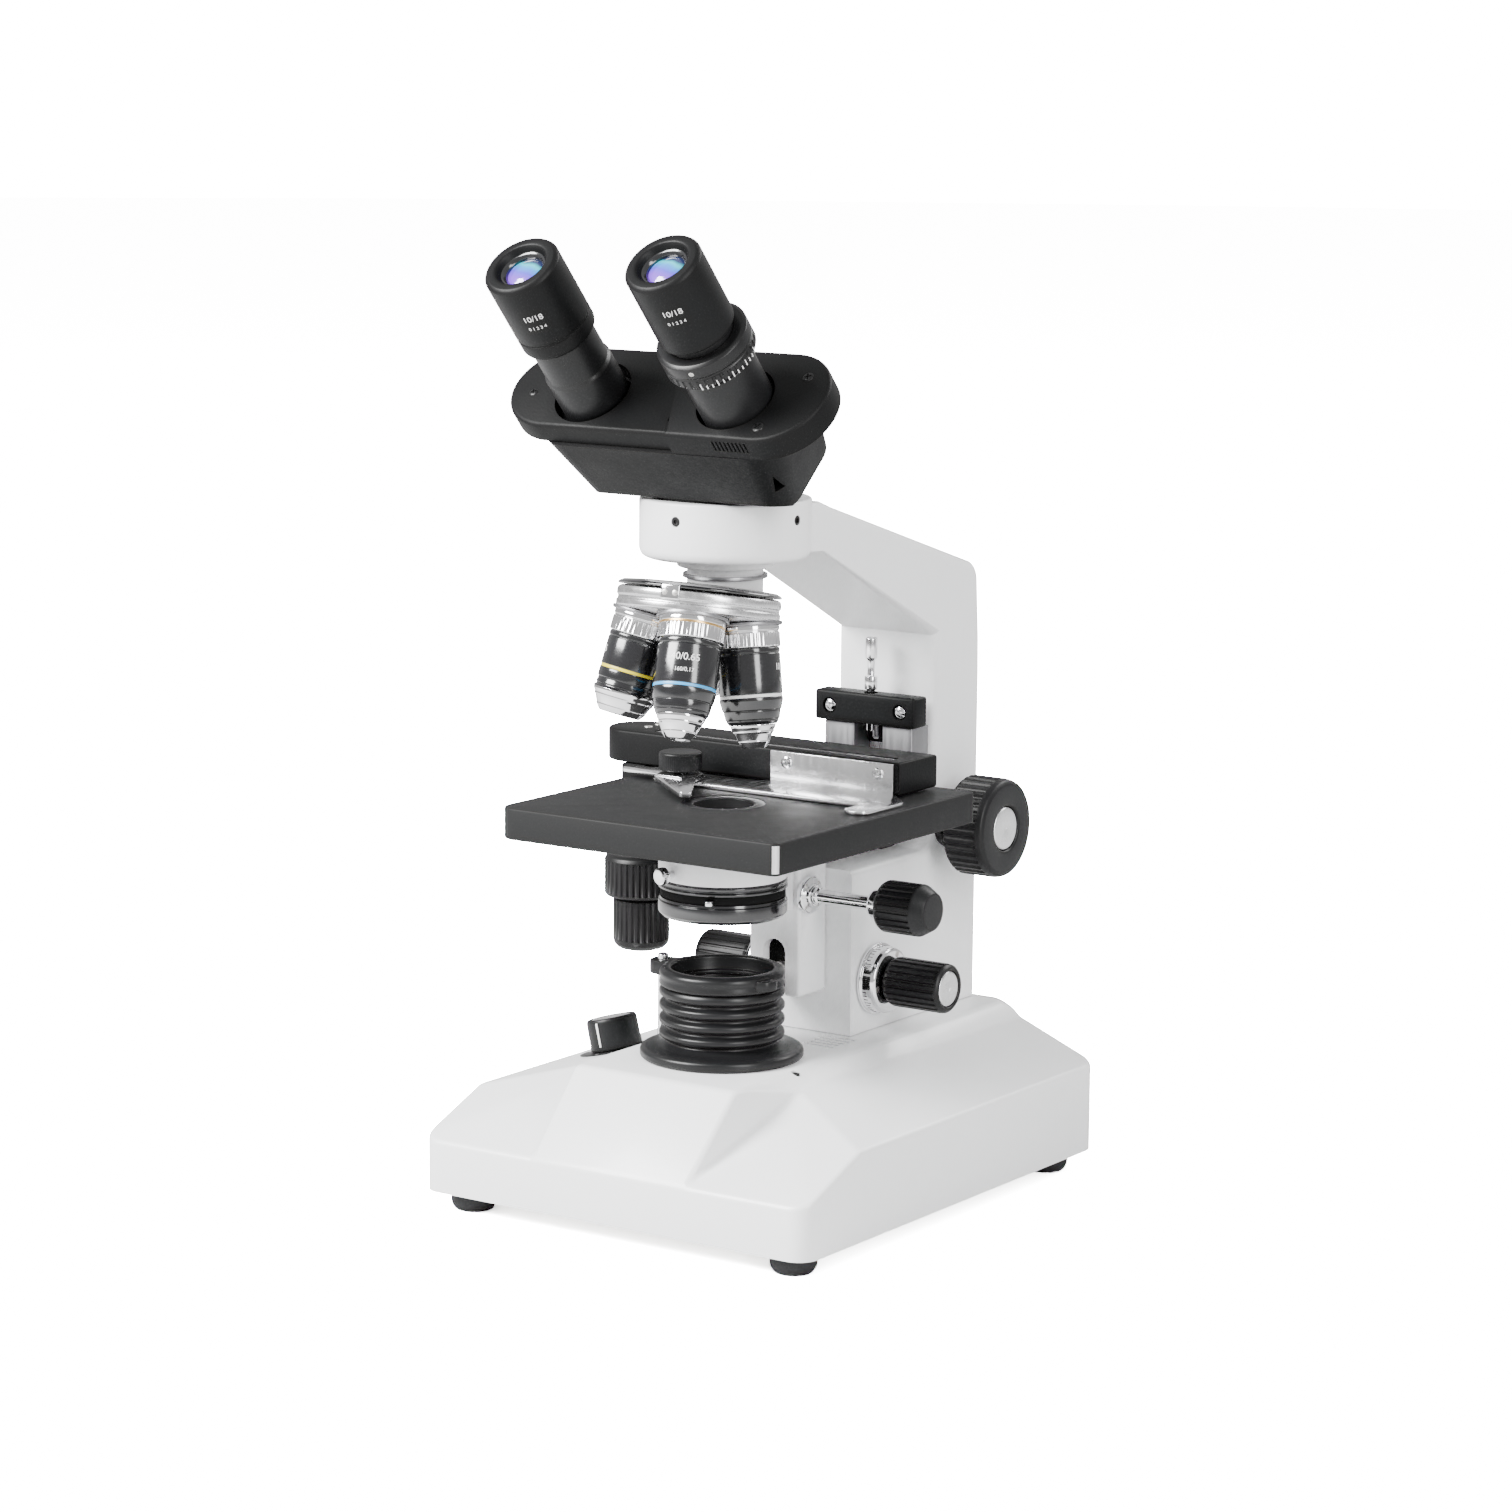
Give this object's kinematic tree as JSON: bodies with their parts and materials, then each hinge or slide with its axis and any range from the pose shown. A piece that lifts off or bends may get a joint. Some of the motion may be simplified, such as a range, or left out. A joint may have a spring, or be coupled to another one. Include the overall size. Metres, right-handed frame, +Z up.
{
  "type": "binocular microscope",
  "caption": "Upright binocular laboratory microscope with white cast stand, inclined sliding head, turret of objectives, mechanical stage, condenser and base lamp.",
  "frame": {"origin": "centre of the bounding box footprint, on the surface the feet stand on", "axes": "+Z up, -Y towards the viewer at the eyepieces, +X to the viewer's right"},
  "size_m": [0.178, 0.2418, 0.3651],
  "materials": {
    "white_paint": "semi-gloss white enamel on cast aluminium",
    "black_metal": "satin black anodised",
    "objective_black": "gloss black over turned brass",
    "black_plastic": "matte black",
    "rubber": "matte",
    "steel": "satin",
    "chrome": "bright plated",
    "grey_metal": "ground grey",
    "lens_glass": "clear coated glass",
    "circuit_board": "solder-masked board"
  },
  "bodies": {
    "stand": {"base_housing": "white_paint", "base_plate": "grey_metal", "foot_front_left": "rubber", "foot_front_right": "rubber", "foot_rear_left": "rubber", "foot_rear_right": "rubber", "arm": "white_paint", "lamp_collector": "black_metal", "field_lens": "lens_glass", "lamp_bulb": "lens_glass", "lamp_socket": "black_plastic", "power_board": "circuit_board", "power_inlet": "black_plastic", "dimmer_pot": "grey_metal", "fine_scale_collar_left": "chrome", "fine_scale_collar_right": "chrome", "nosepiece_mount": "black_metal"},
    "dimmer": {"dimmer_knob": "black_plastic"},
    "filter_arm": {"filter_holder": "black_metal"},
    "coarse_drive": {"coarse_shaft": "steel", "coarse_knob_left": "black_plastic", "coarse_knob_right": "black_plastic"},
    "fine_drive": {"fine_shaft": "steel", "fine_knob_left": "black_plastic", "fine_knob_right": "black_plastic"},
    "slideway": {"gib_left": "grey_metal", "gib_right": "grey_metal", "slide_cap_bar": "black_metal", "focus_stop_screw": "chrome"},
    "stage": {"focus_slider": "grey_metal", "stage_bracket": "white_paint", "stage_plate": "black_metal", "stage_rail": "black_metal"},
    "carriage": {"slide_bar": "black_metal", "drive_bearing": "black_metal"},
    "drive_y": {"drive_knob_y": "black_plastic"},
    "drive_x": {"drive_knob_x": "black_plastic"},
    "holder": {"slide_holder": "chrome"},
    "finger": {"slide_finger": "steel"},
    "condenser": {"condenser_carrier": "white_paint", "condenser_body": "black_metal", "condenser_lens": "lens_glass", "condenser_cap": "black_metal"},
    "iris": {"iris_lever": "steel"},
    "condenser_drive": {"condenser_knob": "black_plastic"},
    "turret": {"nosepiece_disc": "steel", "objective_4x": "objective_black", "objective_10x": "objective_black", "objective_40x": "objective_black", "objective_100x": "objective_black"},
    "head": {"head_body": "black_metal", "head_centre_cover": "black_metal", "beam_splitter": "lens_glass"},
    "left_ocular": {"head_cover_left": "black_metal", "left_tube": "black_metal", "eyepiece_left": "black_plastic"},
    "right_ocular": {"head_cover_right": "black_metal", "right_tube": "black_metal", "eyepiece_right": "black_plastic"},
    "diopter": {"diopter_ring": "black_metal"}
  },
  "joints": [
    {"name": "dimmer_turn", "type": "hinge", "parent": "stand", "child": "dimmer", "pos_m": [-0.059, -0.00713, 0.04736], "axis": [-0.2372, 0, 0.9715], "range_deg": [0, 270]},
    {"name": "filter_swing", "type": "hinge", "parent": "stand", "child": "filter_arm", "pos_m": [-0.024, -0.02613, 0.088], "axis": [0, 0, 1], "range_deg": [-120, 0]},
    {"name": "coarse_turn", "type": "hinge", "parent": "stand", "child": "coarse_drive", "pos_m": [0.003, 0.09387, 0.131], "axis": [1, 0, 0], "range_deg": [-196, 38.5]},
    {"name": "fine_turn", "type": "hinge", "parent": "stand", "child": "fine_drive", "pos_m": [0.003, 0.04387, 0.0775], "axis": [1, 0, 0], "range_deg": [-1800.1, 1800.1]},
    {"name": "fine_slide", "type": "slide", "parent": "stand", "child": "slideway", "axis": [0, 0, 1], "range_m": [-0.001, 0.001]},
    {"name": "stage_lift", "type": "slide", "parent": "slideway", "child": "stage", "axis": [0, 0, 1], "range_m": [-0.004, 0.0205]},
    {"name": "slide_y", "type": "slide", "parent": "stage", "child": "carriage", "axis": [0, 1, 0], "range_m": [-0.03, 0.014]},
    {"name": "drive_y_turn", "type": "hinge", "parent": "carriage", "child": "drive_y", "pos_m": [-0.071, 0.02487, 0.11], "axis": [0, 0, 1], "range_deg": [-134, 287]},
    {"name": "slide_x", "type": "slide", "parent": "carriage", "child": "holder", "axis": [1, 0, 0], "range_m": [-0.04, 0.012]},
    {"name": "drive_x_turn", "type": "hinge", "parent": "carriage", "child": "drive_x", "pos_m": [-0.071, 0.02487, 0.09], "axis": [0, 0, 1], "range_deg": [-382.5, 115]},
    {"name": "finger_swing", "type": "hinge", "parent": "holder", "child": "finger", "pos_m": [-0.035, -0.00014, 0.156], "axis": [0, 0, 1], "range_deg": [-45, 0], "stiffness_Nm_per_rad": 0.02},
    {"name": "condenser_focus", "type": "slide", "parent": "stage", "child": "condenser", "axis": [0, 0, 1], "range_m": [-0.008, 0.001]},
    {"name": "condenser_turn", "type": "hinge", "parent": "stage", "child": "condenser_drive", "pos_m": [0.003, 0.01307, 0.1136], "axis": [1, 0, 0], "range_deg": [-12, 92]},
    {"name": "iris_turn", "type": "hinge", "parent": "condenser", "child": "iris", "pos_m": [0.003, -0.02613, 0.118], "axis": [0, 0, 1], "range_deg": [-45, 60]},
    {"name": "turret_turn", "type": "hinge", "parent": "stand", "child": "turret", "pos_m": [0.003, -0.04386, 0.22313], "axis": [0, 0.1736, 0.9848], "continuous": true},
    {"name": "head_turn", "type": "hinge", "parent": "stand", "child": "head", "pos_m": [0.003, -0.02613, 0.267], "axis": [0, 0, 1], "continuous": true},
    {"name": "left_slide", "type": "slide", "parent": "head", "child": "left_ocular", "axis": [1, 0, 0], "range_m": [-0.0045, 0.004]},
    {"name": "right_slide", "type": "slide", "parent": "head", "child": "right_ocular", "axis": [1, 0, 0], "range_m": [-0.004, 0.0045]},
    {"name": "diopter_turn", "type": "hinge", "parent": "right_ocular", "child": "diopter", "pos_m": [0.0345, -0.02613, 0.262], "axis": [0, -0.6691, 0.7431], "range_deg": [-150, 150]}
  ],
  "couplings": [
    {"joint": "coarse_turn", "follows": "stage_lift", "rad_per_m": -166.67},
    {"joint": "fine_turn", "follows": "fine_slide", "rad_per_m": 31416},
    {"joint": "drive_y_turn", "follows": "slide_y", "rad_per_m": -166.67},
    {"joint": "drive_x_turn", "follows": "slide_x", "rad_per_m": 166.67},
    {"joint": "condenser_turn", "follows": "condenser_focus", "rad_per_m": -200},
    {"joint": "right_slide", "follows": "left_slide", "ratio": -1}
  ]
}
